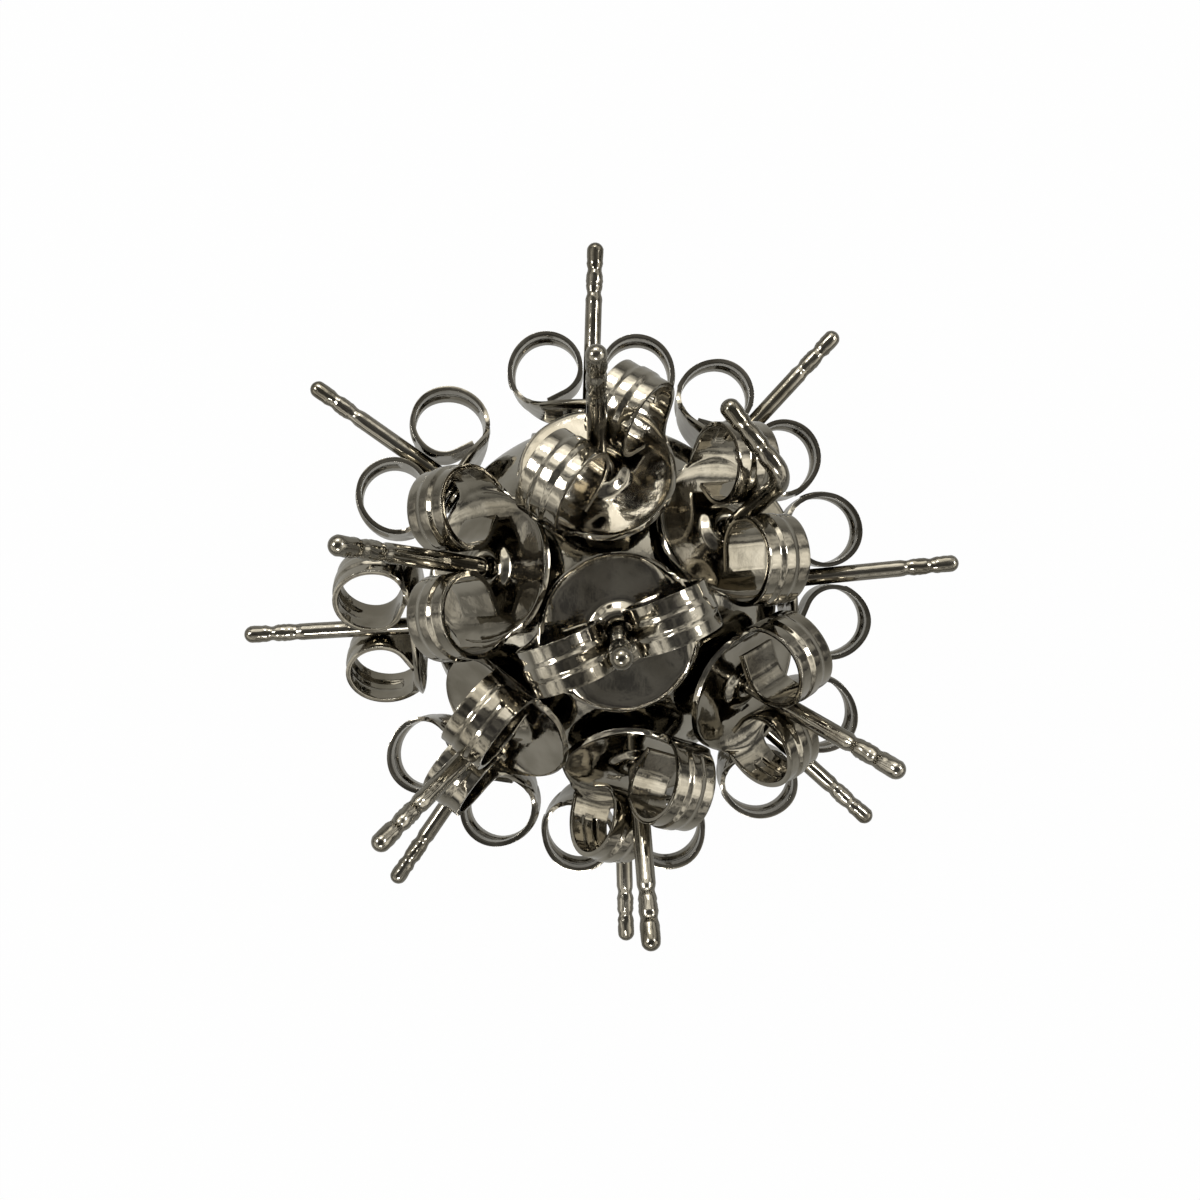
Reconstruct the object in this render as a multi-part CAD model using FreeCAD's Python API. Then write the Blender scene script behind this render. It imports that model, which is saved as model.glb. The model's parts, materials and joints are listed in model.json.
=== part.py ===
import FreeCAD, Part
import math
import os

# A desk toy: one polished ball magnet carrying nineteen ear-stud posts, each with a jumbo
# butterfly clutch pushed on.  Every unit is the same post and the same clutch; what differs
# is where it sits on the ball, how far its line misses the ball centre, how it is turned
# about its own line, and how high the clutch has been left on the post.
# Frame: +Z up out of the top unit, ball centre BALL_HEIGHT above the table. Millimetres.

os.makedirs("parts", exist_ok=True)

# --- driving dimensions ---------------------------------------------------------------
BALL_R = 9.525            # 3/4 inch ball, 19.05 mm across
MAGNET_GAP = 0.02         # ball to the flat pad of a post
PAD_R = 1.5               # flat pad soldered on the inner end of a post
PAD_T = 0.30
POST_R = 0.457            # 0.9 mm post wire
TIP_HEIGHT = 19.58        # end of a post above the ball centre, measured along its line
TIP_ROUND = 0.36          # height of the rounded end
NOTCH_DEPTH = 0.085       # rolled necks that stop the clutch slipping off
NOTCH_HALF = 0.34
NOTCHES_FROM_TIP = (1.50, 2.80)

SHEET = 0.25              # stamped clutch sheet
PAD_TO_CLUTCH = 0.03      # pad to the underside of the clutch disc
DISC_R = 3.70             # clutch disc, 7.4 mm across
HOLE_R = 0.50             # running hole round the post, 0.043 mm radial clearance
CRATER_R = 1.55           # raised ring round the hole
CRATER_RISE = 0.32
STRIP_HALF = 1.10         # strip is 2.2 mm wide
FLARE_R = 1.20            # concave corner where the disc narrows into a strip
SCROLL_X = 2.455          # centre of a scroll from the post line
SCROLL_Z = 2.50           # centre of a scroll above the disc underside
SCROLL_R = 1.850          # mid-sheet radius over the top and down beside the post
RISE_R = 2.15             # mid-sheet radius where the strip leaves the disc
CURL_R = 1.50             # mid-sheet radius where the strip turns in under itself
CURL_END = 243.0          # degrees, where the curl becomes the straight tail
TAIL = 1.00               # straight tail length
FLARE_END = -20.0         # degrees on the rise, where the strip has reached its full narrowness
BEAD_HALF = 0.36          # stiffening bead along the outside of the strip
BEAD_RISE = 0.08
BEAD_END = 150.0          # degrees on the scroll, before the strip meets the post

BEND_START = 5.15         # bent post only: straight length above the pad underside
BEND_R = 0.90
BEND_ANGLE = 82.0
BEND_TURN = 34.0          # direction of the bend, from the scroll line towards the strip width

FOOT_TILT = 145.0         # tilt of the four units it stands on

# name, tilt of the line from +Z, heading of the line, miss east, miss north,
# turn of the clutch about the line, lift of the clutch above its seat
UNITS = (
    ("top",      4.7, 265.2,  0.92, -0.78,  26.6, 0.00),
    ("high_1",  28.2,  90.1,  0.24, -0.86,  52.8, 0.70),
    ("high_2",  32.8,  44.8, -2.01, -1.25, 324.6, 0.00),
    ("high_3",  52.1, 330.0, -0.14, -0.54,  41.9, 0.00),
    ("high_4",  56.8, 273.9,  1.15,  0.04,  52.3, 0.00),
    ("high_5",  51.0, 224.5,  0.90,  0.35, 101.9, 0.00),
    ("high_6",  38.0, 172.5, -0.64,  0.82, 190.7, 0.00),
    ("side_1",  90.4,  88.3,  0.94,  0.19,   0.1, 0.00),
    ("side_2",  90.8,  47.3,  0.36,  0.19, 358.8, 0.00),
    ("side_3",  88.1,   5.6, -0.04,  0.20,   1.7, 0.00),
    ("side_4",  91.7, 318.0,  0.75, -0.18, 182.2, 1.00),
    ("side_5",  93.2, 271.6,  0.84, -0.49,   0.3, 0.90),
    ("side_6",  90.0, 235.6, -0.58, -0.13, 184.6, 0.45),
    ("side_7",  86.8, 183.2,  0.98, -0.03, 143.5, 0.00),
    ("side_8",  87.1, 144.9, -0.36,  0.10, 190.4, 0.00),
    ("foot_1", FOOT_TILT,  25.0, 0.00,  0.00,  20.0, 0.00),
    ("foot_2", FOOT_TILT, 115.0, 0.00,  0.00, 110.0, 0.00),
    ("foot_3", FOOT_TILT, 205.0, 0.00,  0.00,  65.0, 0.00),
    ("foot_4", FOOT_TILT, 295.0, 0.00,  0.00, 150.0, 0.00),
)
BENT_UNIT = "high_2"

# --- worked out from the above --------------------------------------------------------
PAD_BASE = BALL_R + MAGNET_GAP
POST_LENGTH = TIP_HEIGHT - PAD_BASE
SEAT = PAD_BASE + PAD_T + PAD_TO_CLUTCH
# a post ends in a cap of a ball: TIP_ROUND high on a wire of radius POST_R
TIP_BALL = (POST_R ** 2 + TIP_ROUND ** 2) / (2 * TIP_ROUND)
# the caps of the four foot posts touch the table at z = 0
BALL_HEIGHT = (TIP_HEIGHT - TIP_BALL) * math.cos(math.radians(180.0 - FOOT_TILT)) + TIP_BALL

RISE_Z = SHEET / 2 + RISE_R
RISE_X = SCROLL_X - math.sqrt((RISE_R - SCROLL_R) ** 2 - (SCROLL_Z - RISE_Z) ** 2)
HANDOVER = math.degrees(math.atan2(SCROLL_Z - RISE_Z, SCROLL_X - RISE_X))
CURL_X = SCROLL_X - SCROLL_R + CURL_R

UP = FreeCAD.Vector(0, 0, 1)
ORIGIN = FreeCAD.Vector(0, 0, 0)


def polar(cx, cz, r, degrees):
    """A point in the XZ plane, r from (cx, cz)."""
    a = math.radians(degrees)
    return FreeCAD.Vector(cx + r * math.cos(a), 0, cz + r * math.sin(a))


def arc(cx, cz, r, a0, a1):
    """Arc in the XZ plane from a0 to a1 degrees about (cx, cz)."""
    ends = (polar(cx, cz, r, a0), polar(cx, cz, r, (a0 + a1) / 2), polar(cx, cz, r, a1))
    return Part.Arc(*ends).toShape()


def line(p, q):
    return Part.LineSegment(p, q).toShape()


def slab(edges, half_width):
    """Extrude a closed XZ outline to both sides of the XZ plane."""
    face = Part.Face(Part.Wire(Part.__sortEdges__(edges)))
    face.translate(FreeCAD.Vector(0, -half_width, 0))
    return face.extrude(FreeCAD.Vector(0, 2 * half_width, 0))


def band(path, inner, outer):
    """Closed outline of a sheet that follows path = [(cx, cz, r, a0, a1), ...]."""
    edges = [arc(cx, cz, r + outer, a0, a1) for cx, cz, r, a0, a1 in path]
    edges += [arc(cx, cz, r - inner, a0, a1) for cx, cz, r, a0, a1 in path]
    cx, cz, r, a0, _ = path[0]
    edges.append(line(polar(cx, cz, r + outer, a0), polar(cx, cz, r - inner, a0)))
    return edges


def scroll():
    """One strip of the clutch, +X side: up, over the top, down by the post and curled in."""
    path = [
        (RISE_X, RISE_Z, RISE_R, FLARE_END, HANDOVER),
        (SCROLL_X, SCROLL_Z, SCROLL_R, HANDOVER, 180.0),
        (CURL_X, SCROLL_Z, CURL_R, 180.0, CURL_END),
    ]
    edges = band(path, SHEET / 2, SHEET / 2)
    heading = math.radians(CURL_END + 90.0)
    run = FreeCAD.Vector(TAIL * math.cos(heading), 0, TAIL * math.sin(heading))
    below = polar(CURL_X, SCROLL_Z, CURL_R + SHEET / 2, CURL_END)
    above = polar(CURL_X, SCROLL_Z, CURL_R - SHEET / 2, CURL_END)
    edges += [line(below, below + run), line(below + run, above + run), line(above + run, above)]
    return slab(edges, STRIP_HALF)


def bead():
    """Raised bead along the outside of the strip; it stops before the strip meets the post."""
    path = [
        (RISE_X, RISE_Z, RISE_R, FLARE_END, HANDOVER),
        (SCROLL_X, SCROLL_Z, SCROLL_R, HANDOVER, BEAD_END),
    ]
    proud = SHEET / 2 + BEAD_RISE
    edges = band(path, 0.0, proud)
    end_out = polar(SCROLL_X, SCROLL_Z, SCROLL_R + proud, BEAD_END)
    end_in = polar(SCROLL_X, SCROLL_Z, SCROLL_R, BEAD_END)
    edges.append(line(end_out, end_in))
    return slab(edges, BEAD_HALF)


def outline():
    """Plan of the blank: a disc with two strips, joined by concave corners."""
    cx = math.sqrt((DISC_R + FLARE_R) ** 2 - (STRIP_HALF + FLARE_R) ** 2)
    cy = STRIP_HALF + FLARE_R
    reach = RISE_X + RISE_R + SHEET
    lean = math.atan2(cy, cx)
    touch = FreeCAD.Vector(DISC_R * math.cos(lean), DISC_R * math.sin(lean), 0)
    middle = math.radians(270.0) - (math.radians(90.0) - lean) / 2
    halfway = FreeCAD.Vector(cx + FLARE_R * math.cos(middle), cy + FLARE_R * math.sin(middle), 0)
    level = FreeCAD.Vector(cx, STRIP_HALF, 0)
    far = FreeCAD.Vector(reach, STRIP_HALF, 0)

    def flip(p, sx, sy):
        return FreeCAD.Vector(sx * p.x, sy * p.y, 0)

    edges = []
    for sx in (1, -1):
        edges.append(line(flip(far, sx, 1), flip(far, sx, -1)))
        for sy in (1, -1):
            points = (flip(touch, sx, sy), flip(halfway, sx, sy), flip(level, sx, sy))
            edges.append(Part.Arc(*points).toShape())
            edges.append(line(flip(level, sx, sy), flip(far, sx, sy)))
    for sy in (1, -1):
        points = (flip(touch, 1, sy), FreeCAD.Vector(0, sy * DISC_R, 0), flip(touch, -1, sy))
        edges.append(Part.Arc(*points).toShape())
    return Part.Face(Part.Wire(Part.__sortEdges__(edges)))


def base():
    """The disc with its two ends already turned up as far as the strips."""
    edges = [line(FreeCAD.Vector(-RISE_X, 0, z), FreeCAD.Vector(RISE_X, 0, z)) for z in (0, SHEET)]
    for offset in (SHEET / 2, -SHEET / 2):
        edges.append(arc(RISE_X, RISE_Z, RISE_R + offset, -90.0, FLARE_END))
        edges.append(arc(-RISE_X, RISE_Z, RISE_R + offset, 180.0 - FLARE_END, 270.0))
    for side, angle in ((1, FLARE_END), (-1, 180.0 - FLARE_END)):
        rim = [polar(side * RISE_X, RISE_Z, RISE_R + d, angle) for d in (SHEET / 2, -SHEET / 2)]
        edges.append(line(*rim))
    curved = slab(edges, DISC_R + 1.0)
    cutter = outline().extrude(FreeCAD.Vector(0, 0, RISE_Z + SHEET))
    cutter.translate(FreeCAD.Vector(0, 0, -SHEET))
    return curved.common(cutter)


def crater():
    """Raised ring pressed up round the hole."""
    inner_foot = FreeCAD.Vector(HOLE_R, 0, SHEET / 2)
    inner_top = FreeCAD.Vector(HOLE_R, 0, SHEET + CRATER_RISE)
    shoulder = FreeCAD.Vector((HOLE_R + CRATER_R) / 2 + 0.1, 0, SHEET + CRATER_RISE * 0.72)
    outer_top = FreeCAD.Vector(CRATER_R, 0, SHEET)
    outer_foot = FreeCAD.Vector(CRATER_R, 0, SHEET / 2)
    edges = [
        line(inner_foot, inner_top),
        Part.Arc(inner_top, shoulder, outer_top).toShape(),
        line(outer_top, outer_foot),
        line(outer_foot, inner_foot),
    ]
    return Part.Face(Part.Wire(edges)).revolve(ORIGIN, UP, 360)


def clutch():
    """Whole clutch: origin on the post line at the disc underside, scrolls along +X and -X."""
    right = scroll().fuse(bead())
    left = right.copy()
    left.rotate(ORIGIN, UP, 180)
    hole = Part.makeCylinder(HOLE_R, 4 * SHEET, FreeCAD.Vector(0, 0, -SHEET))
    return base().fuse([right, left, crater()]).cut(hole).removeSplitter().Solids[0]


def tip_profile(length):
    """Half section of a straight post end: shaft, rolled notches, rounded end."""
    edges = []
    last = FreeCAD.Vector(POST_R, 0, 0)
    edges.append(line(ORIGIN, last))
    for from_tip in sorted(NOTCHES_FROM_TIP, reverse=True):
        z = length - from_tip
        start = FreeCAD.Vector(POST_R, 0, z - NOTCH_HALF)
        waist = FreeCAD.Vector(POST_R - NOTCH_DEPTH, 0, z)
        end = FreeCAD.Vector(POST_R, 0, z + NOTCH_HALF)
        edges.append(line(last, start))
        edges.append(Part.Arc(start, waist, end).toShape())
        last = end
    shoulder = FreeCAD.Vector(POST_R, 0, length - TIP_ROUND)
    crown = FreeCAD.Vector(0, 0, length)
    round_mid = polar(0, length - TIP_BALL, TIP_BALL, 55.0)
    edges.append(line(last, shoulder))
    edges.append(Part.Arc(shoulder, round_mid, crown).toShape())
    edges.append(line(crown, ORIGIN))
    return Part.Face(Part.Wire(edges))


def pad():
    return Part.makeCylinder(PAD_R, PAD_T)


def straight_post():
    """Post with its pad underside at z = 0."""
    shaft = tip_profile(POST_LENGTH).revolve(ORIGIN, UP, 360)
    return shaft.fuse(pad()).removeSplitter().Solids[0]


def bent_post():
    """The same wire, knocked over towards +X just above the scrolls of its clutch."""
    bend = math.radians(BEND_ANGLE)
    rest = POST_LENGTH - BEND_START - BEND_R * bend
    stem = Part.makeCylinder(POST_R, BEND_START)
    section = Part.Face(Part.Wire(Part.Circle(FreeCAD.Vector(0, 0, BEND_START), UP, POST_R).toShape()))
    pivot = FreeCAD.Vector(BEND_R, 0, BEND_START)
    elbow = section.revolve(pivot, FreeCAD.Vector(0, 1, 0), BEND_ANGLE)
    end = tip_profile(rest).revolve(ORIGIN, UP, 360)
    end.rotate(ORIGIN, FreeCAD.Vector(0, 1, 0), BEND_ANGLE)
    rise = BEND_START + BEND_R * math.sin(bend)
    end.translate(FreeCAD.Vector(BEND_R * (1 - math.cos(bend)), 0, rise))
    return stem.fuse([elbow, end, pad()]).removeSplitter().Solids[0]


def placement(tilt, heading, east, north, turn, height):
    """Carries a unit's own frame (+Z along its line) to its place on the ball."""
    t = math.radians(tilt)
    h = math.radians(heading)
    outward = FreeCAD.Vector(math.sin(t) * math.cos(h), math.sin(t) * math.sin(h), math.cos(t))
    eastward = FreeCAD.Vector(-math.sin(h), math.cos(h), 0)
    northward = outward.cross(eastward)
    spin = math.radians(turn)
    x_axis = eastward * math.cos(spin) + northward * math.sin(spin)
    y_axis = outward.cross(x_axis)
    foot = eastward * east + northward * north + outward * height
    foot = foot + FreeCAD.Vector(0, 0, BALL_HEIGHT)
    matrix = FreeCAD.Matrix(
        x_axis.x, y_axis.x, outward.x, foot.x,
        x_axis.y, y_axis.y, outward.y, foot.y,
        x_axis.z, y_axis.z, outward.z, foot.z,
        0, 0, 0, 1,
    )
    return FreeCAD.Placement(matrix)


ball = Part.makeSphere(BALL_R, FreeCAD.Vector(0, 0, BALL_HEIGHT))
ball.exportStep("parts/magnet_ball.step")

one_clutch = clutch()
one_post = straight_post()
one_bent_post = bent_post()
print("clutch", one_clutch.isValid(), round(one_clutch.Volume, 3), one_clutch.BoundBox)
print("post", one_post.isValid(), round(one_post.Volume, 3), one_post.BoundBox)
print("bent", one_bent_post.isValid(), round(one_bent_post.Volume, 3), one_bent_post.BoundBox)

for name, tilt, heading, east, north, turn, lift in UNITS:
    bent = name == BENT_UNIT
    post = one_bent_post.copy() if bent else one_post.copy()
    post.Placement = placement(tilt, heading, east, north, turn + BEND_TURN * bent, PAD_BASE)
    post.exportStep("parts/post_" + name + ".step")
    jaw = one_clutch.copy()
    jaw.Placement = placement(tilt, heading, east, north, turn, SEAT + lift)
    jaw.exportStep("parts/clutch_" + name + ".step")

print("ball centre height", round(BALL_HEIGHT, 4), "seat", round(SEAT, 3), "nodes", 1 + 2 * len(UNITS))
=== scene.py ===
# %% [markdown]
# # A ball magnet bristling with ear-stud posts
#
# The real thing is one polished ball magnet.  Nineteen short steel posts stand on it, held
# by their flat pads, and every post carries a butterfly clutch: a thin stamped disc whose two
# ends are rolled up into scrolls that grip the wire.
#
# The sizes, the places and the way each piece moves are settled before Blender starts.  This
# lesson loads that fixed frame and gives every piece its finished shape and its polish.

# %% Load the fixed frame
import json
import math

import bmesh
import bpy
from mathutils import Matrix, Vector, noise


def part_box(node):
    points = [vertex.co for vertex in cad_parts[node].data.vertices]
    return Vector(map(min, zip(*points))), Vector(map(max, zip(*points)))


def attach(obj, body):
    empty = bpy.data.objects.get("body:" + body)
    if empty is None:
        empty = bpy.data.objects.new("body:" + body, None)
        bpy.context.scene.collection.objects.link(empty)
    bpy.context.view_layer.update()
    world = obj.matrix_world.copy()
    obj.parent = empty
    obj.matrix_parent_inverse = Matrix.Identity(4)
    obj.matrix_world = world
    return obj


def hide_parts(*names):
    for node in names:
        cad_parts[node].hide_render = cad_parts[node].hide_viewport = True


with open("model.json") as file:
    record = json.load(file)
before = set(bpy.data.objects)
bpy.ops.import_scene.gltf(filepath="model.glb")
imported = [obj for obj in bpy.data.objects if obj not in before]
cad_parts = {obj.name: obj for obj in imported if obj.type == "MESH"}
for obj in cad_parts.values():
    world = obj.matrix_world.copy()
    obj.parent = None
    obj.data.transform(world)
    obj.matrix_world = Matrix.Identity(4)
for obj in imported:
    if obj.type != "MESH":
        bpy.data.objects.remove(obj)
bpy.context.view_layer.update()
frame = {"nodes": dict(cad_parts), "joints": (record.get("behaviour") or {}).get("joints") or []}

# %% [markdown]
# ## Working in millimetres
#
# Blender's unit is the metre, and this object is smaller than a walnut.  Bevels and merges
# are easier to judge in whole millimetres, so every shape is built in millimetres at the
# origin and only then shrunk and carried to its place.

# %% Millimetres
MM = 0.001


def in_place(mesh, unit):
    """Shrink a millimetre mesh to metres and carry it to its unit."""
    mesh.transform(unit @ Matrix.Scale(MM, 4))
    return mesh


# %% [markdown]
# ## Where each unit stands
#
# The frame knows the line that every clutch slides along, from its joint.  Two things are
# still to find: how high the disc sits on that line, and which way its scrolls face.  Both
# are measured on the clutch itself.  The lowest point along the line is the underside of the
# disc, and the points furthest from the line are on the two scrolls, so they give the
# direction.

# %% Measure a unit
JOINTS = {joint["name"]: joint for joint in frame["joints"]}
UNITS = [name[len("turn_"):] for name in JOINTS if name.startswith("turn_")]
OUTER_SKIN = 0.03 * MM


def along_and_across(node, foot, line):
    """Each vertex of a node as its height on the line and its arrow away from the line."""
    arrows = [vertex.co - foot for vertex in frame["nodes"][node].data.vertices]
    heights = [arrow.dot(line) for arrow in arrows]
    return heights, [arrow - line * height for arrow, height in zip(arrows, heights)]


def furthest_way(arrows):
    """The direction of the outermost points, taking both ends of the piece together."""
    reach = max(arrow.length for arrow in arrows)
    outer = [arrow for arrow in arrows if arrow.length > reach - OUTER_SKIN]
    total = Vector((0, 0, 0))
    for arrow in outer:
        total += arrow if arrow.dot(outer[0]) > 0 else -arrow
    return total.normalized()


def axes_to_place(sideways, line, origin):
    """A matrix with X sideways, Z along the line and its origin at a point."""
    depth = line.cross(sideways)
    turned = Matrix((sideways, depth, line)).transposed().to_4x4()
    return Matrix.Translation(origin) @ turned


def measure(name):
    """Where a unit's clutch and post stand, and how long its post is."""
    joint = JOINTS["turn_" + name]
    line = Vector(joint["axis"]).normalized()
    foot = Vector(joint["pos_m"])
    heights, arrows = along_and_across("clutch_" + name, foot, line)
    sideways = furthest_way(arrows)
    clutch = axes_to_place(sideways, line, foot + line * min(heights))
    heights, arrows = along_and_across("post_" + name, foot, line)
    post = axes_to_place(sideways, line, foot + line * min(heights))
    length_mm = (max(heights) - min(heights)) / MM
    return {"line": line, "clutch": clutch, "post": post, "post_mm": length_mm}


PLACES = {name: measure(name) for name in UNITS}
POST_MM = max(place["post_mm"] for place in PLACES.values())
print("units", len(PLACES), "post length in mm", round(POST_MM, 3))

# %% [markdown]
# ## The camera
#
# The view is from straight above and close, so the posts that point up look longer and
# larger than the ones that point sideways.  A camera 62 mm over the middle of the ball gives
# exactly that spread.  Its near clip has to come down, because the default of 100 mm would cut
# the whole object away.

# %% Camera
ball_low, ball_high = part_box("magnet_ball")
BALL_CENTRE = (ball_low + ball_high) / 2
BALL_R_MM = (ball_high.z - ball_low.z) / 2 / MM
CAMERA_OVER_BALL = 62.0 * MM
CAMERA_LENS = 33.57
SENSOR = 36.0
NEAR_CLIP = 0.001
FAR_CLIP = 10.0
CAMERA_ASIDE = Vector((-0.11, -0.17, 0)) * MM

camera_data = bpy.data.cameras.new("camera")
camera_data.lens = CAMERA_LENS
camera_data.sensor_width = SENSOR
camera_data.clip_start = NEAR_CLIP
camera_data.clip_end = FAR_CLIP
camera = bpy.data.objects.new("camera", camera_data)
camera.location = BALL_CENTRE + Vector((0, 0, CAMERA_OVER_BALL)) + CAMERA_ASIDE
bpy.context.scene.collection.objects.link(camera)
bpy.context.scene.camera = camera
print("ball radius in mm", round(BALL_R_MM, 3),
      "camera height in mm", round(camera.location.z / MM, 2))

# %% [markdown]
# ## Helpers for shaping sheet metal
#
# Every shape here grows from a row of edges: a row is extruded once for a straight step, or
# spun round a centre for a curved one.  Blender hands back a mixture of new vertices, edges
# and faces, so two small helpers pick out what the next step needs.

# %% Rows of edges
def vertices_of(geometry):
    return [item for item in geometry if isinstance(item, bmesh.types.BMVert)]


def next_row(sheet, row):
    """Extrude a row of edges and return the new row and its vertices."""
    grown = bmesh.ops.extrude_edge_only(sheet, edges=row)["geom"]
    fresh = vertices_of(grown)
    known = set(fresh)
    edges = [item for item in grown if isinstance(item, bmesh.types.BMEdge)]
    return [edge for edge in edges if known.issuperset(edge.verts)], fresh


def ends_of(row):
    """The vertices of a row, each once, in the same order on every run."""
    return list(dict.fromkeys(vertex for edge in row for vertex in edge.verts))


def turn_row(sheet, row, centre, degrees, steps, side):
    """Spin a row about a centre in the XZ plane, from the sheet up towards the post."""
    spun = bmesh.ops.spin(
        sheet, geom=row + ends_of(row), cent=(side * centre[0], 0, centre[1]), axis=(0, -side, 0),
        dvec=(0, 0, 0), angle=math.radians(degrees), steps=steps, use_duplicate=False)
    last = spun["geom_last"]
    return [item for item in last if isinstance(item, bmesh.types.BMEdge)]


# %% [markdown]
# ## The disc of a clutch
#
# The disc is stamped from sheet a quarter of a millimetre thick.  A ring is pressed up round
# the hole like a little crater, the disc is slightly dished, and its rim turns up.  One
# circle of edges at the hole, extruded outwards ring by ring, makes all of it: each ring is
# just a radius and a height.

# %% Disc
SHEET = 0.25
SECTORS = 96
HOLE_R = 0.615
DISC_R = 3.70
DISC_RINGS = (
    (0.65, 0.240), (0.72, 0.292), (0.81, 0.320), (0.91, 0.315), (1.03, 0.275), (1.17, 0.195),
    (1.30, 0.100), (1.42, 0.035), (1.55, 0.005), (1.80, 0.000), (2.30, 0.000), (2.85, 0.006),
    (3.20, 0.018), (3.42, 0.036), (3.56, 0.062), (3.65, 0.092), (DISC_R, 0.125),
)
HOLE_RISE = 0.165


def make_disc(sheet):
    """The disc as rings of edges round its hole; returns the edges of its rim."""
    bmesh.ops.create_circle(sheet, segments=SECTORS, radius=HOLE_R, cap_ends=False)
    for vertex in sheet.verts:
        vertex.co.z = HOLE_RISE
    rim = list(sheet.edges)
    for radius, height in DISC_RINGS:
        rim, points = next_row(sheet, rim)
        for point in points:
            way = point.co.xy.normalized() * radius
            point.co = (way.x, way.y, height)
    return rim


# %% [markdown]
# ## The neck between the disc and a strip
#
# On each side the disc narrows through two hollow corners into a strip.  Only the rim edges
# that face the strip are extruded, and each new row is squeezed a little narrower until its
# points stand where the strip wants them: close together in the middle, where a bead will be
# pressed, and wider apart outside.

# %% Neck
NECK_SECTORS = 8
NECK_ROWS = 7
FLARE_R = 1.20
STRIP_HALF = 1.10
FLARE_X = math.sqrt((DISC_R + FLARE_R) ** 2 - (STRIP_HALF + FLARE_R) ** 2)
FLARE_Y = STRIP_HALF + FLARE_R
NECK_END_X = 4.277
ACROSS = (0.0, 0.11, 0.20, 0.27, 0.37, 0.56, 0.75, 0.94, STRIP_HALF)


def flare_edge(x):
    """Half width of the neck at x."""
    inside = FLARE_R ** 2 - (FLARE_X - x) ** 2
    return FLARE_Y - math.sqrt(max(inside, 0.0))


def neck_row_place(column, blend):
    """Where a column's point stands when its row is a share `blend` of the way out."""
    angle = math.radians(column * 360.0 / SECTORS)
    edge_angle = math.radians(NECK_SECTORS * 360.0 / SECTORS)
    start = Vector((DISC_R * math.cos(angle), DISC_R * math.sin(angle)))
    share_start = math.sin(angle) / math.sin(edge_angle)
    share_end = math.copysign(ACROSS[abs(column)], column) / STRIP_HALF
    share = share_start + (share_end - share_start) * blend
    edge_x = DISC_R * math.cos(edge_angle)
    edge_x += (NECK_END_X - edge_x) * blend
    return Vector((start.x + (NECK_END_X - start.x) * blend, share * flare_edge(edge_x)))


def column_of(point, side):
    """Which column a rim point belongs to, counted from the middle of the strip."""
    angle = math.degrees(math.atan2(point.y, side * point.x))
    return round(angle * SECTORS / 360.0)


def make_neck(sheet, rim, side):
    """Extrude the facing part of the rim; returns the last row."""
    row = [edge for edge in rim
           if all(abs(column_of(v.co, side)) <= NECK_SECTORS for v in edge.verts)]
    rim_height = DISC_RINGS[-1][1]
    columns = {}
    for step in range(1, NECK_ROWS + 1):
        before = {tuple(v.co.xy): v for edge in row for v in edge.verts}
        row, points = next_row(sheet, row)
        for point in points:
            old = tuple(point.co.xy)
            columns[point] = columns.get(before[old], column_of(before[old].co, side))
        for point in points:
            spot = neck_row_place(columns[point], step / NECK_ROWS)
            point.co = (side * spot.x, spot.y, rim_height * (1 - step / NECK_ROWS))
    return row


# %% [markdown]
# ## Rolling the strip
#
# A press bends the two ends straight up and over.  The rise of the neck is one large arc;
# every point past the start of that arc is lifted on to it.  From there the strip is spun in
# three arcs of shrinking radius, over the top, down beside the post and in under itself, and
# it ends in a short straight tail.  A bead is pressed along the outside to stiffen it: the
# middle columns step outwards where it starts and back where it ends.

# %% Strip and scroll
RISE_R = 2.15
RISE_Z = SHEET / 2 + RISE_R
SCROLL_X, SCROLL_Z, SCROLL_R = 2.455, 2.50, 1.850
RISE_X = SCROLL_X - math.sqrt((RISE_R - SCROLL_R) ** 2 - (SCROLL_Z - RISE_Z) ** 2)
HANDOVER = math.degrees(math.atan2(SCROLL_Z - RISE_Z, SCROLL_X - RISE_X))
CURL_R = 1.50
CURL_X = SCROLL_X - SCROLL_R + CURL_R
NECK_END = -20.0
BEAD_START = 2.0
BEAD_END = 150.0
BEAD_FADE = 6.0
CURL_END = 243.0
TAIL = 1.00
TAIL_STEPS = 4
BEAD_RISE = 0.085
BEAD_COLUMN = 0.30
STEP_DEGREES = 5.0


def lift_to_rise(sheet):
    """Raise everything past the bend line on to the large arc."""
    for vertex in sheet.verts:
        past = abs(vertex.co.x) - RISE_X
        if past > 0:
            vertex.co.z += RISE_R - math.sqrt(max(RISE_R ** 2 - past ** 2, 0.0))
        vertex.co.z += SHEET / 2


def press_bead(row, centre, side, depth):
    """Move the middle columns of a row away from a centre, or back."""
    for vertex in ends_of(row):
        if abs(vertex.co.y) < BEAD_COLUMN:
            away = Vector((vertex.co.x - side * centre[0], 0, vertex.co.z - centre[1])).normalized()
            vertex.co += away * depth


def steps_for(degrees):
    return max(1, round(degrees / STEP_DEGREES))


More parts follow.
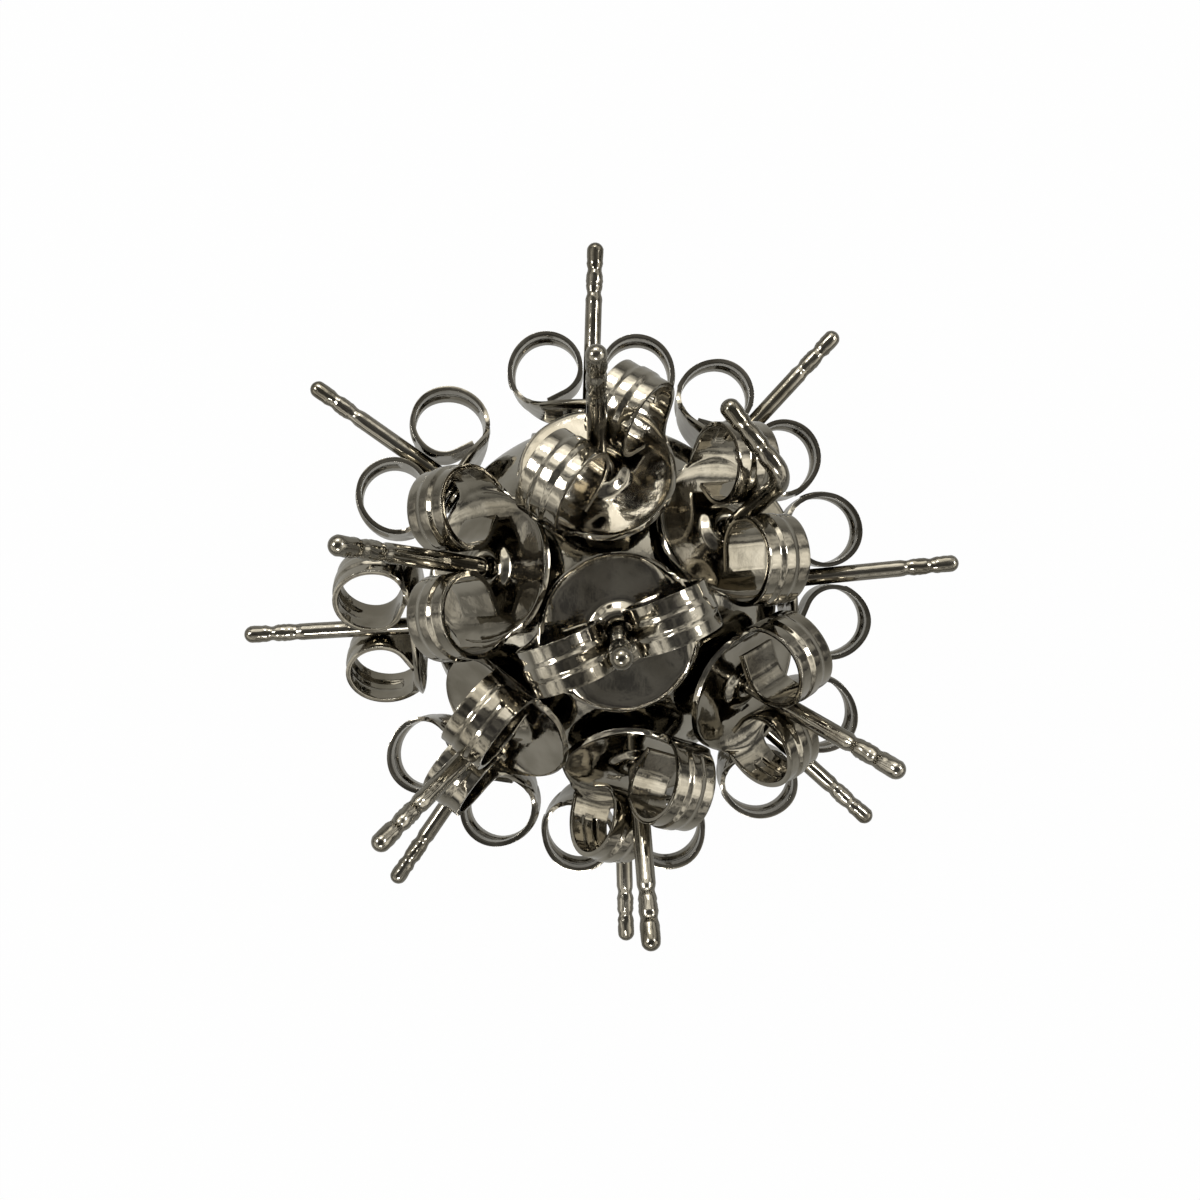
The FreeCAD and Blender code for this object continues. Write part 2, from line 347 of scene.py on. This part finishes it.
def roll_strip(sheet, row, side):
    """Spin a strip up, over and in under itself, with its bead, and end it in a tail."""
    rise, scroll, curl = (RISE_X, RISE_Z), (SCROLL_X, SCROLL_Z), (CURL_X, SCROLL_Z)
    row = turn_row(sheet, row, rise, BEAD_START, 1, side)
    press_bead(row, rise, side, BEAD_RISE)
    degrees = HANDOVER - NECK_END - BEAD_START
    row = turn_row(sheet, row, rise, degrees, steps_for(degrees), side)
    degrees = BEAD_END - HANDOVER
    row = turn_row(sheet, row, scroll, degrees, steps_for(degrees), side)
    row = turn_row(sheet, row, scroll, BEAD_FADE, 1, side)
    press_bead(row, scroll, side, -BEAD_RISE)
    degrees = 180.0 - BEAD_END - BEAD_FADE
    row = turn_row(sheet, row, scroll, degrees, steps_for(degrees), side)
    degrees = CURL_END - 180.0
    row = turn_row(sheet, row, curl, degrees, steps_for(degrees), side)
    heading = math.radians(CURL_END + 90.0)
    stride = Vector((side * math.cos(heading), 0, math.sin(heading))) * (TAIL / TAIL_STEPS)
    for _ in range(TAIL_STEPS):
        row, points = next_row(sheet, row)
        bmesh.ops.translate(sheet, verts=points, vec=stride)


# %% [markdown]
# ## Thickness and rounded edges
#
# So far the clutch is a surface with no thickness, running through the middle of the sheet.
# Solidify gives it the real gauge, half to each side, and Bevel rounds the cut edges, which
# is what draws the thin bright lines round the disc and along the strips.  Both modifiers are
# worked out once on a master clutch, and the finished mesh is then copied to every post.

# %% Master clutch
EDGE_ROUND = 0.085
EDGE_STEPS = 3
SHARP = math.radians(60.0)
WELD = 1e-5


def baked(sheet, name, modifiers):
    """Turn a bmesh into a mesh with its modifiers worked out."""
    rough = bpy.data.meshes.new(name + "_rough")
    sheet.to_mesh(rough)
    sheet.free()
    master = bpy.data.objects.new(name + "_master", rough)
    bpy.context.scene.collection.objects.link(master)
    for kind, settings in modifiers:
        modifier = master.modifiers.new(kind.lower(), kind)
        for key, value in settings.items():
            setattr(modifier, key, value)
    graph = bpy.context.evaluated_depsgraph_get()
    finished = bpy.data.meshes.new_from_object(master.evaluated_get(graph))
    finished.name = name
    bpy.data.objects.remove(master)
    bpy.data.meshes.remove(rough)
    finished.shade_smooth()
    return finished


def make_clutch():
    """The master clutch: disc, two necks, two rolled strips, thickness and rounded edges."""
    sheet = bmesh.new()
    rim = make_disc(sheet)
    rows = {side: make_neck(sheet, rim, side) for side in (1, -1)}
    lift_to_rise(sheet)
    for side, row in rows.items():
        roll_strip(sheet, row, side)
    bmesh.ops.remove_doubles(sheet, verts=sheet.verts, dist=WELD)
    bmesh.ops.recalc_face_normals(sheet, faces=sheet.faces)
    return baked(sheet, "clutch", (
        ("SOLIDIFY", {"thickness": SHEET, "offset": 0.0, "use_even_offset": False}),
        ("BEVEL", {"width": EDGE_ROUND, "segments": EDGE_STEPS, "limit_method": "ANGLE",
                   "angle_limit": SHARP, "profile": 0.5}),
    ))


def size_of(mesh):
    """The length, width and height of a mesh."""
    sides = list(zip(*(vertex.co for vertex in mesh.vertices)))
    return [round(max(side) - min(side), 2) for side in sides]


clutch_mesh = make_clutch()
print("clutch faces", len(clutch_mesh.polygons), "size in mm", size_of(clutch_mesh))

# %% [markdown]
# ## The posts
#
# A post is drawn wire with a flat pad soldered to its inner end.  Near the tip it is rolled
# between jaws, which leaves two uneven necks that stop the clutch falling off, and the tip
# itself is rounded.  A profile of radius against distance from the tip says all that: the
# wire is a circle extruded ring by ring along it.  The necks are pinched more one way than
# the other, so each ring can also be squashed in its own direction.

# %% Post profile
POST_R = 0.457
PAD_R = 1.50
PAD_T = 0.30
PAD_ROUND = 0.06
TIP_ROUND = 0.36
WIRE_SIDES = 32
TIP_BALL = (POST_R ** 2 + TIP_ROUND ** 2) / (2 * TIP_ROUND)
TIP_DEGREES = range(14, 88, 8)
# distance from the tip, radius, squash, direction of the squash in degrees
NECKS = (
    (0.55, 0.460, 0.00, 0), (0.78, 0.470, 0.02, 10), (0.98, 0.462, 0.06, 20),
    (1.16, 0.470, 0.02, 25), (1.30, 0.448, 0.05, 30), (1.41, 0.418, 0.09, 34),
    (1.50, 0.408, 0.10, 38), (1.59, 0.416, 0.09, 44), (1.70, 0.444, 0.05, 50),
    (1.84, 0.466, 0.02, 60), (1.99, 0.456, 0.06, 75), (2.14, 0.470, 0.02, 90),
    (2.28, 0.454, 0.06, 104), (2.42, 0.470, 0.02, 112), (2.57, 0.448, 0.05, 120),
    (2.69, 0.422, 0.08, 128), (2.79, 0.412, 0.09, 132), (2.89, 0.424, 0.08, 138),
    (3.01, 0.450, 0.04, 145), (3.16, 0.466, 0.01, 150), (3.36, 0.458, 0.00, 160),
)


def wire_rings(length):
    """(height, radius, squash, direction) from the end of the plain wire to its tip."""
    rings = [(length - from_tip, radius, squash, way)
             for from_tip, radius, squash, way in reversed(NECKS)]
    for degrees in TIP_DEGREES:
        lean = math.radians(degrees)
        rings.append((length - TIP_BALL * (1 - math.sin(lean)), TIP_BALL * math.cos(lean), 0.0, 0))
    return rings


# %% [markdown]
# One post is bent over just above its clutch.  It is built straight like the others, and then
# every point is carried along a path: up, round a tight bend and straight on.  A small matrix
# says where the wire has got to at each distance and which way it points.

# %% Wire along a path
BEND_START = 5.15
BEND_R = 0.90
BEND_ANGLE = 82.0
BEND_STEPS = 12
BEND_MARGIN = 0.2
PLAIN_STEPS = 7


def bent_path(distance):
    """Leaves Z at the start of the bend, turns towards +X and runs on straight."""
    bend = math.radians(BEND_ANGLE)
    turned = min(max((distance - BEND_START) / BEND_R, 0.0), bend)
    height = min(distance, BEND_START) + BEND_R * math.sin(turned)
    spot = Vector((BEND_R * (1 - math.cos(turned)), 0, height))
    beyond = max(distance - BEND_START - BEND_R * bend, 0.0)
    spot += beyond * Vector((math.sin(turned), 0, math.cos(turned)))
    return Matrix.Translation(spot) @ Matrix.Rotation(turned, 4, "Y")


def plain_heights(length, bent):
    """Heights of the plain rings between the pad and the first neck."""
    low, high = PAD_T + 2 * BEND_MARGIN, length - NECKS[-1][0] - BEND_MARGIN
    heights = [low + (high - low) * i / PLAIN_STEPS for i in range(PLAIN_STEPS + 1)]
    if bent:
        bend = BEND_R * math.radians(BEND_ANGLE)
        bend_low, bend_high = BEND_START - BEND_MARGIN, BEND_START + bend + BEND_MARGIN
        heights = [height for height in heights if not bend_low < height < bend_high]
        heights += [BEND_START + bend * i / BEND_STEPS for i in range(BEND_STEPS + 1)]
    return sorted(heights)


# %% [markdown]
# The jaws also leave shallow dents, different on every post.  Blender's noise gives those: it
# looks random but returns the same value for the same place each time, and a different offset
# for each post keeps any two from matching.

# %% One post
DENT = 0.030
DENT_SIZE = 0.30
DENT_ZONE = 3.3
TIP_FREE = 0.3
DENT_SHIFT = Vector((7.3, 1.9, 4.1))
PAD_CORNER = 0.0176
# height, radius: the rounded edge of the pad, then the fillet of solder up to the wire
PAD_OUTLINE = (
    (PAD_CORNER, PAD_R - PAD_CORNER), (PAD_ROUND, PAD_R), (PAD_T - PAD_ROUND, PAD_R),
    (PAD_T - PAD_CORNER, PAD_R - PAD_CORNER), (PAD_T, PAD_R - PAD_ROUND), (PAD_T, 0.75),
    (PAD_T + 0.02, 0.60), (PAD_T + 0.08, 0.50), (PAD_T + 0.20, POST_R),
)


def dent(point, length, number):
    """How far the jaws pushed the surface in at a point, fading out along the wire."""
    near_tip = length - point.z
    if near_tip > DENT_ZONE or near_tip < TIP_FREE:
        return 0.0
    return DENT * noise.noise(point / DENT_SIZE + DENT_SHIFT * number)


def make_post(name, number, bent):
    """A pad, its wire with necks and dents, and a rounded tip, bent over if asked."""
    wire = bmesh.new()
    bmesh.ops.create_circle(
        wire, segments=WIRE_SIDES, radius=PAD_R - PAD_ROUND, cap_ends=True)
    row = list(wire.edges)
    rings = [(height, radius, 0.0, 0) for height, radius in PAD_OUTLINE]
    rings += [(height, POST_R, 0.0, 0) for height in plain_heights(POST_MM, bent)]
    rings += wire_rings(POST_MM)
    for height, radius, squash, way in rings:
        row, points = next_row(wire, row)
        for point in points:
            angle = math.atan2(point.co.y, point.co.x)
            pinched = radius * (1 - squash * math.cos(angle - math.radians(way)) ** 2)
            outwards = Vector((math.cos(angle), math.sin(angle), 0))
            point.co = (pinched * math.cos(angle), pinched * math.sin(angle), height)
            point.co -= dent(point.co, POST_MM, number) * outwards
    bmesh.ops.contextual_create(wire, geom=row)
    if bent:
        for vertex in wire.verts:
            vertex.co = bent_path(vertex.co.z) @ Vector((vertex.co.x, vertex.co.y, 0))
    bmesh.ops.recalc_face_normals(wire, faces=wire.faces)
    mesh = bpy.data.meshes.new(name)
    wire.to_mesh(mesh)
    wire.free()
    mesh.shade_smooth()
    return mesh


# %% [markdown]
# ## Polished metal
#
# All of it is plated and tumbled bright, so almost everything seen on it is a reflection.
# What makes the plating look real is what breaks those reflections up: faint smears that
# dull it, a slow waviness left by the press, hair-fine scratches, and a little warmth where
# the plating is thin.  Small knocks from the tumbling barrel break up the highlights.  Five
# noises on the object's own coordinates drive them, each at its own size in millimetres.

# %% Metal
PLATING_MM = 2.6
SMEAR_MM = 0.8
KNOCK_MM = 0.45
KNOCK_DEPTH = 0.009
HAIR_MM = 0.05
HAIR_DEPTH = 0.0007
HAIR_STRETCH = (1.0, 0.12, 0.35)
WARM_AT, BRIGHT_AT = 0.36, 0.60


def noise_of(nodes, links, place, size_mm, detail, stretch=None):
    """A noise texture whose lumps are about size_mm across."""
    texture = nodes.new("ShaderNodeTexNoise")
    texture.inputs["Scale"].default_value = 1.0 / (size_mm * MM)
    texture.inputs["Detail"].default_value = detail
    source = place
    if stretch:
        mapping = nodes.new("ShaderNodeMapping")
        mapping.inputs["Scale"].default_value = stretch
        links.new(place, mapping.inputs["Vector"])
        source = mapping.outputs["Vector"]
    links.new(source, texture.inputs["Vector"])
    return texture.outputs["Fac"]


def ramp(nodes, links, value, stops):
    """A colour ramp with (position, colour) stops."""
    node = nodes.new("ShaderNodeValToRGB")
    elements = node.color_ramp.elements
    elements[0].position, elements[0].color = stops[0]
    elements[1].position, elements[1].color = stops[-1]
    for position, colour in stops[1:-1]:
        elements.new(position).color = colour
    links.new(value, node.inputs["Fac"])
    return node.outputs["Color"]


def span(nodes, links, value, low, high, reach=0.20):
    """Spread the middle of a noise over low to high; a smaller reach gives sharper patches."""
    node = nodes.new("ShaderNodeMapRange")
    node.inputs["From Min"].default_value = 0.50 - reach
    node.inputs["From Max"].default_value = 0.50 + reach
    node.inputs["To Min"].default_value = low
    node.inputs["To Max"].default_value = high
    links.new(value, node.inputs["Value"])
    return node.outputs["Result"]


def bump_of(nodes, links, height, depth_mm, under=None):
    """A bump of a given depth, on top of another where one is given."""
    node = nodes.new("ShaderNodeBump")
    node.inputs["Strength"].default_value = 1.0
    node.inputs["Distance"].default_value = depth_mm * MM
    links.new(height, node.inputs["Height"])
    if under:
        links.new(under, node.inputs["Normal"])
    return node.outputs["Normal"]


def polished_metal(name, bright, warm, smear, wave_mm, wave_depth):
    """Plated metal; smear is the least and most roughness, the waves are in millimetres."""
    material = bpy.data.materials.new(name)
    material.use_nodes = True
    nodes, links = material.node_tree.nodes, material.node_tree.links
    metal = nodes["Principled BSDF"]
    place = nodes.new("ShaderNodeTexCoord").outputs["Object"]
    metal.inputs["Metallic"].default_value = 1.0
    plating = noise_of(nodes, links, place, PLATING_MM, 3.0)
    colour = ramp(nodes, links, plating, ((WARM_AT, (*warm, 1)), (BRIGHT_AT, (*bright, 1))))
    links.new(colour, metal.inputs["Base Color"])
    smears = noise_of(nodes, links, place, SMEAR_MM, 6.0)
    links.new(span(nodes, links, smears, *smear), metal.inputs["Roughness"])
    waves = bump_of(nodes, links, noise_of(nodes, links, place, wave_mm, 1.0), wave_depth)
    knocks = noise_of(nodes, links, place, KNOCK_MM, 2.0)
    knocked = bump_of(nodes, links, knocks, KNOCK_DEPTH, under=waves)
    hairs = noise_of(nodes, links, place, HAIR_MM, 2.0, stretch=HAIR_STRETCH)
    links.new(bump_of(nodes, links, hairs, HAIR_DEPTH, under=knocked), metal.inputs["Normal"])
    return material


CLUTCH_METAL = polished_metal(
    "clutch_metal", bright=(0.32, 0.298, 0.252), warm=(0.20, 0.182, 0.146),
    smear=(0.04, 0.13), wave_mm=1.3, wave_depth=0.035)
POST_METAL = polished_metal(
    "post_metal", bright=(0.26, 0.243, 0.207), warm=(0.16, 0.146, 0.116),
    smear=(0.05, 0.15), wave_mm=0.7, wave_depth=0.020)
BALL_METAL = polished_metal(
    "magnet_plating", bright=(0.34, 0.322, 0.280), warm=(0.27, 0.252, 0.212),
    smear=(0.04, 0.10), wave_mm=4.0, wave_depth=0.010)
print("metals", [metal.name for metal in (CLUTCH_METAL, POST_METAL, BALL_METAL)])

# %% [markdown]
# ## Putting the units together
#
# Each clutch starts as a copy of the master.  No two stampings are quite alike, so every copy
# gets its own slow wobble of a few hundredths of a millimetre, which is enough to make its
# reflections its own.  The noise with three values takes its start from the clock unless it is
# given a seed, so it gets one, and every run makes the same nineteen.  Then the clutch is
# carried to its place, given its metal and told which body it rides on.

# %% Pieces
WOBBLE = 0.045
WOBBLE_SIZE = 2.2
WOBBLE_SHIFT = Vector((3.7, 9.1, 5.3))
WOBBLE_SEED = 19
BENT_TIP = 1.0 * MM
STILL_R = 0.60
noise.seed_set(WOBBLE_SEED)


def wobble(mesh, number):
    """Move every point a little by a slow noise of its own, but none of those next to the wire."""
    offset = WOBBLE_SHIFT * number
    for vertex in mesh.vertices:
        share = min(max(vertex.co.xy.length - STILL_R, 0.0), 1.0)
        vertex.co += WOBBLE * share * noise.noise_vector(vertex.co / WOBBLE_SIZE + offset)


def add_piece(name, mesh, material, body, node):
    """A finished piece that stands for a node and moves with a body."""
    mesh.materials.clear()
    mesh.materials.append(material)
    piece = bpy.data.objects.new(name, mesh)
    bpy.context.scene.collection.objects.link(piece)
    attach(piece, body)
    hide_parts(node)
    return piece


def bend_heading(name):
    """The bent post leans away from its line: a frame whose X points that way."""
    place = PLACES[name]
    foot = Vector(JOINTS["turn_" + name]["pos_m"])
    heights, arrows = along_and_across("post_" + name, foot, place["line"])
    reach = max(arrow.length for arrow in arrows)
    total = Vector((0, 0, 0))
    for arrow in arrows:
        if arrow.length > reach - BENT_TIP:
            total += arrow
    return axes_to_place(total.normalized(), place["line"], place["post"].translation)


for number, name in enumerate(UNITS):
    place = PLACES[name]
    bent = place["post_mm"] < POST_MM - 1.0
    sheet_mesh = clutch_mesh.copy()
    wobble(sheet_mesh, number)
    add_piece("clutch_%s_sheet" % name, in_place(sheet_mesh, place["clutch"]), CLUTCH_METAL,
              "clutch_" + name, "clutch_" + name)
    wire_mesh = make_post("post_%s_wire" % name, number, bent)
    stand = bend_heading(name) if bent else place["post"]
    add_piece("post_%s_wire" % name, in_place(wire_mesh, stand), POST_METAL,
              "post_" + name, "post_" + name)
bpy.data.meshes.remove(clutch_mesh)
print("units finished", len(UNITS), "each with a clutch and a post")

# %% [markdown]
# ## The ball
#
# The magnet is a plain ground ball.  It has to be round enough that its reflections run
# without corners, and an icosphere keeps its faces the same size all over, with no poles.

# %% Ball
BALL_SPLITS = 6

shell = bmesh.new()
bmesh.ops.create_icosphere(shell, subdivisions=BALL_SPLITS, radius=BALL_R_MM * MM)
bmesh.ops.translate(shell, verts=shell.verts, vec=BALL_CENTRE)
ball_mesh = bpy.data.meshes.new("ball_shell")
shell.to_mesh(ball_mesh)
shell.free()
ball_mesh.shade_smooth()
add_piece("ball_shell", ball_mesh, BALL_METAL, "magnet", "magnet_ball")
print("ball faces", len(ball_mesh.polygons))

# %% [markdown]
# ## The floor
#
# A plain sheet would do for a floor, but a white one lit to look white would also flood the
# metal with light.  So the floor is a mixture: almost all plain white for the camera, a little
# white for a mirror, and for the rest a matt grey that still takes the shadow of the object.
# The grey is what the undersides of the scrolls and the edges of the posts show.

# %% Floor
FLOOR_HALF = 1.5
FLOOR_WHITE = 0.985
FLOOR_IN_MIRRORS = 0.10
FLOOR_MATT = (0.28, 0.28, 0.27)


def make_floor():
    """One large square that the object stands on."""
    sheet = bmesh.new()
    bmesh.ops.create_grid(sheet, x_segments=1, y_segments=1, size=FLOOR_HALF)
    mesh = bpy.data.meshes.new("floor")
    sheet.to_mesh(mesh)
    sheet.free()
    floor = bpy.data.objects.new("floor", mesh)
    bpy.context.scene.collection.objects.link(floor)
    return floor


def times(nodes, links, value, factor):
    """A value multiplied by a number."""
    node = nodes.new("ShaderNodeMath")
    node.operation = "MULTIPLY"
    node.inputs[1].default_value = factor
    links.new(value, node.inputs[0])
    return node.outputs[0]


def white_share(nodes, links, for_camera, in_mirrors):
    """How much plain white a ray finds: one share for the camera, one for mirrors or glass."""
    path = nodes.new("ShaderNodeLightPath")
    total = times(nodes, links, path.outputs["Is Camera Ray"], for_camera)
    for kind in ("Is Glossy Ray", "Is Transmission Ray"):
        larger = nodes.new("ShaderNodeMath")
        larger.operation = "MAXIMUM"
        links.new(total, larger.inputs[0])
        links.new(times(nodes, links, path.outputs[kind], in_mirrors), larger.inputs[1])
        total = larger.outputs[0]
    return total


def floor_material():
    """Plain white mixed with a matt grey, by the kind of ray that meets it."""
    material = bpy.data.materials.new("floor_white")
    material.use_nodes = True
    nodes, links = material.node_tree.nodes, material.node_tree.links
    nodes.remove(nodes["Principled BSDF"])
    matt = nodes.new("ShaderNodeBsdfDiffuse")
    matt.inputs["Color"].default_value = (*FLOOR_MATT, 1)
    glow = nodes.new("ShaderNodeEmission")
    glow.inputs["Color"].default_value = (1, 1, 1, 1)
    mix = nodes.new("ShaderNodeMixShader")
    share = white_share(nodes, links, FLOOR_WHITE, FLOOR_IN_MIRRORS)
    links.new(share, mix.inputs["Fac"])
    links.new(matt.outputs["BSDF"], mix.inputs[1])
    links.new(glow.outputs["Emission"], mix.inputs[2])
    links.new(mix.outputs["Shader"], nodes["Material Output"].inputs["Surface"])
    return material


floor = make_floor()
floor.data.materials.append(floor_material())
print("floor half width in m", FLOOR_HALF)

# %% [markdown]
# ## The room
#
# A mirror shows the room, so the room matters as much as the metal.  An image of a real room
# would be one way; a few nodes are lighter and can be tuned.  A ramp on the height of the ray
# makes it dim at the horizon, brighter half way up and almost black overhead, where the camera
# and whoever holds it would be.  A noise breaks it into light and dark patches, as furniture
# does, and three pale walls glow on three sides.  The camera itself sees only white.

# %% Room
# height of the ray (half its sine plus a half) and the brightness there
ROOM = (
    (0.500, 0.28), (0.540, 0.34), (0.600, 0.60), (0.700, 0.90), (0.800, 0.92), (0.880, 0.70),
    (0.935, 0.34), (0.965, 0.11), (1.0, 0.08),
)
CLUTTER_SCALE = 5.0
CLUTTER = (0.15, 1.85)
CLUTTER_REACH = 0.12
CLUTTER_DETAIL = 4.0
# pale walls: heading and elevation in degrees, half width in degrees, extra brightness
WALLS = ((95.0, 34.0, 28.0, 2.2), (205.0, 18.0, 20.0, 0.6), (350.0, 24.0, 18.0, 1.2))
WALL_EDGE = 0.8
ROOM_HAZE = 0.07
ROOM_TINT = (1.0, 0.97, 0.89)
world = bpy.data.worlds.new("room")
bpy.context.scene.world = world
world.use_nodes = True
nodes, links = world.node_tree.nodes, world.node_tree.links
ray = nodes.new("ShaderNodeTexCoord").outputs["Generated"]


def direction(heading, elevation):
    """A unit arrow from a heading and an elevation in degrees."""
    turn, rise = math.radians(heading), math.radians(elevation)
    level = math.cos(rise)
    return Vector((math.cos(turn) * level, math.sin(turn) * level, math.sin(rise)))


def wall_light(heading, elevation, width, extra):
    """Rises from 0 to extra where a ray points at the wall, softly at its edges."""
    facing = nodes.new("ShaderNodeVectorMath")
    facing.operation = "DOT_PRODUCT"
    facing.inputs[1].default_value = direction(heading, elevation)
    links.new(ray, facing.inputs[0])
    soft = nodes.new("ShaderNodeMapRange")
    soft.interpolation_type = "SMOOTHSTEP"
    soft.inputs["From Min"].default_value = math.cos(math.radians(width))
    soft.inputs["From Max"].default_value = math.cos(math.radians(width * WALL_EDGE))
    soft.inputs["To Max"].default_value = extra
    links.new(facing.outputs["Value"], soft.inputs["Value"])
    return soft.outputs["Result"]


split = nodes.new("ShaderNodeSeparateXYZ")
links.new(ray, split.inputs[0])
height = nodes.new("ShaderNodeMapRange")
height.inputs["From Min"].default_value = -1.0
links.new(split.outputs["Z"], height.inputs["Value"])
stops = [(position, (*(value * share for share in ROOM_TINT), 1)) for position, value in ROOM]
glow = nodes["Background"]
links.new(ramp(nodes, links, height.outputs["Result"], stops), glow.inputs["Color"])
clutter = nodes.new("ShaderNodeTexNoise")
clutter.inputs["Scale"].default_value = CLUTTER_SCALE
clutter.inputs["Detail"].default_value = CLUTTER_DETAIL
links.new(ray, clutter.inputs["Vector"])
strength = span(nodes, links, clutter.outputs["Fac"], *CLUTTER, reach=CLUTTER_REACH)
for wall in WALLS:
    brighter = nodes.new("ShaderNodeMath")
    links.new(strength, brighter.inputs[0])
    links.new(wall_light(*wall), brighter.inputs[1])
    strength = brighter.outputs[0]
links.new(strength, glow.inputs["Strength"])
white = nodes.new("ShaderNodeBackground")
white.inputs["Color"].default_value = (1, 1, 1, 1)
seen = nodes.new("ShaderNodeMixShader")
links.new(white_share(nodes, links, 1.0, ROOM_HAZE), seen.inputs["Fac"])
links.new(glow.outputs["Background"], seen.inputs[1])
links.new(white.outputs["Background"], seen.inputs[2])
links.new(seen.outputs["Shader"], nodes["World Output"].inputs["Surface"])
print("room nodes", len(nodes))

# %% [markdown]
# ## The lamps
#
# The walls alone would leave the metal dull.  Four small soft lamps, each a rectangle a few
# centimetres across, give the crisp sparkles on every curve.  Their power is worked out from
# how bright each should look, so a lamp can change size without changing how bright it looks.

# %% Lamps
# name, heading and elevation in degrees, width and height in mm, distance in mm, radiance
LAMPS = (
    ("lamp_left", 165.0, 48.0, 52.0, 34.0, 170.0, 30.0),
    ("lamp_right", 20.0, 44.0, 46.0, 26.0, 170.0, 26.0),
    ("lamp_front", 262.0, 52.0, 50.0, 26.0, 170.0, 26.0),
    ("lamp_back", 98.0, 40.0, 42.0, 26.0, 170.0, 24.0),
)


def add_lamp(name, heading, elevation, width, depth, distance, radiance):
    """A soft rectangle that faces the ball."""
    data = bpy.data.lights.new(name, "AREA")
    data.shape = "RECTANGLE"
    data.size, data.size_y = width * MM, depth * MM
    data.energy = radiance * math.pi * width * depth * MM * MM
    lamp = bpy.data.objects.new(name, data)
    way = direction(heading, elevation)
    lamp.location = BALL_CENTRE + way * distance * MM
    lamp.rotation_euler = way.to_track_quat("Z", "Y").to_euler()
    bpy.context.scene.collection.objects.link(lamp)


for lamp in LAMPS:
    add_lamp(*lamp)
print("lamps", len(LAMPS))

# %% [markdown]
# ## Picture settings
#
# The plain Standard view keeps every colour as it was written.

# %% Finish
bpy.context.scene.view_settings.view_transform = "Standard"
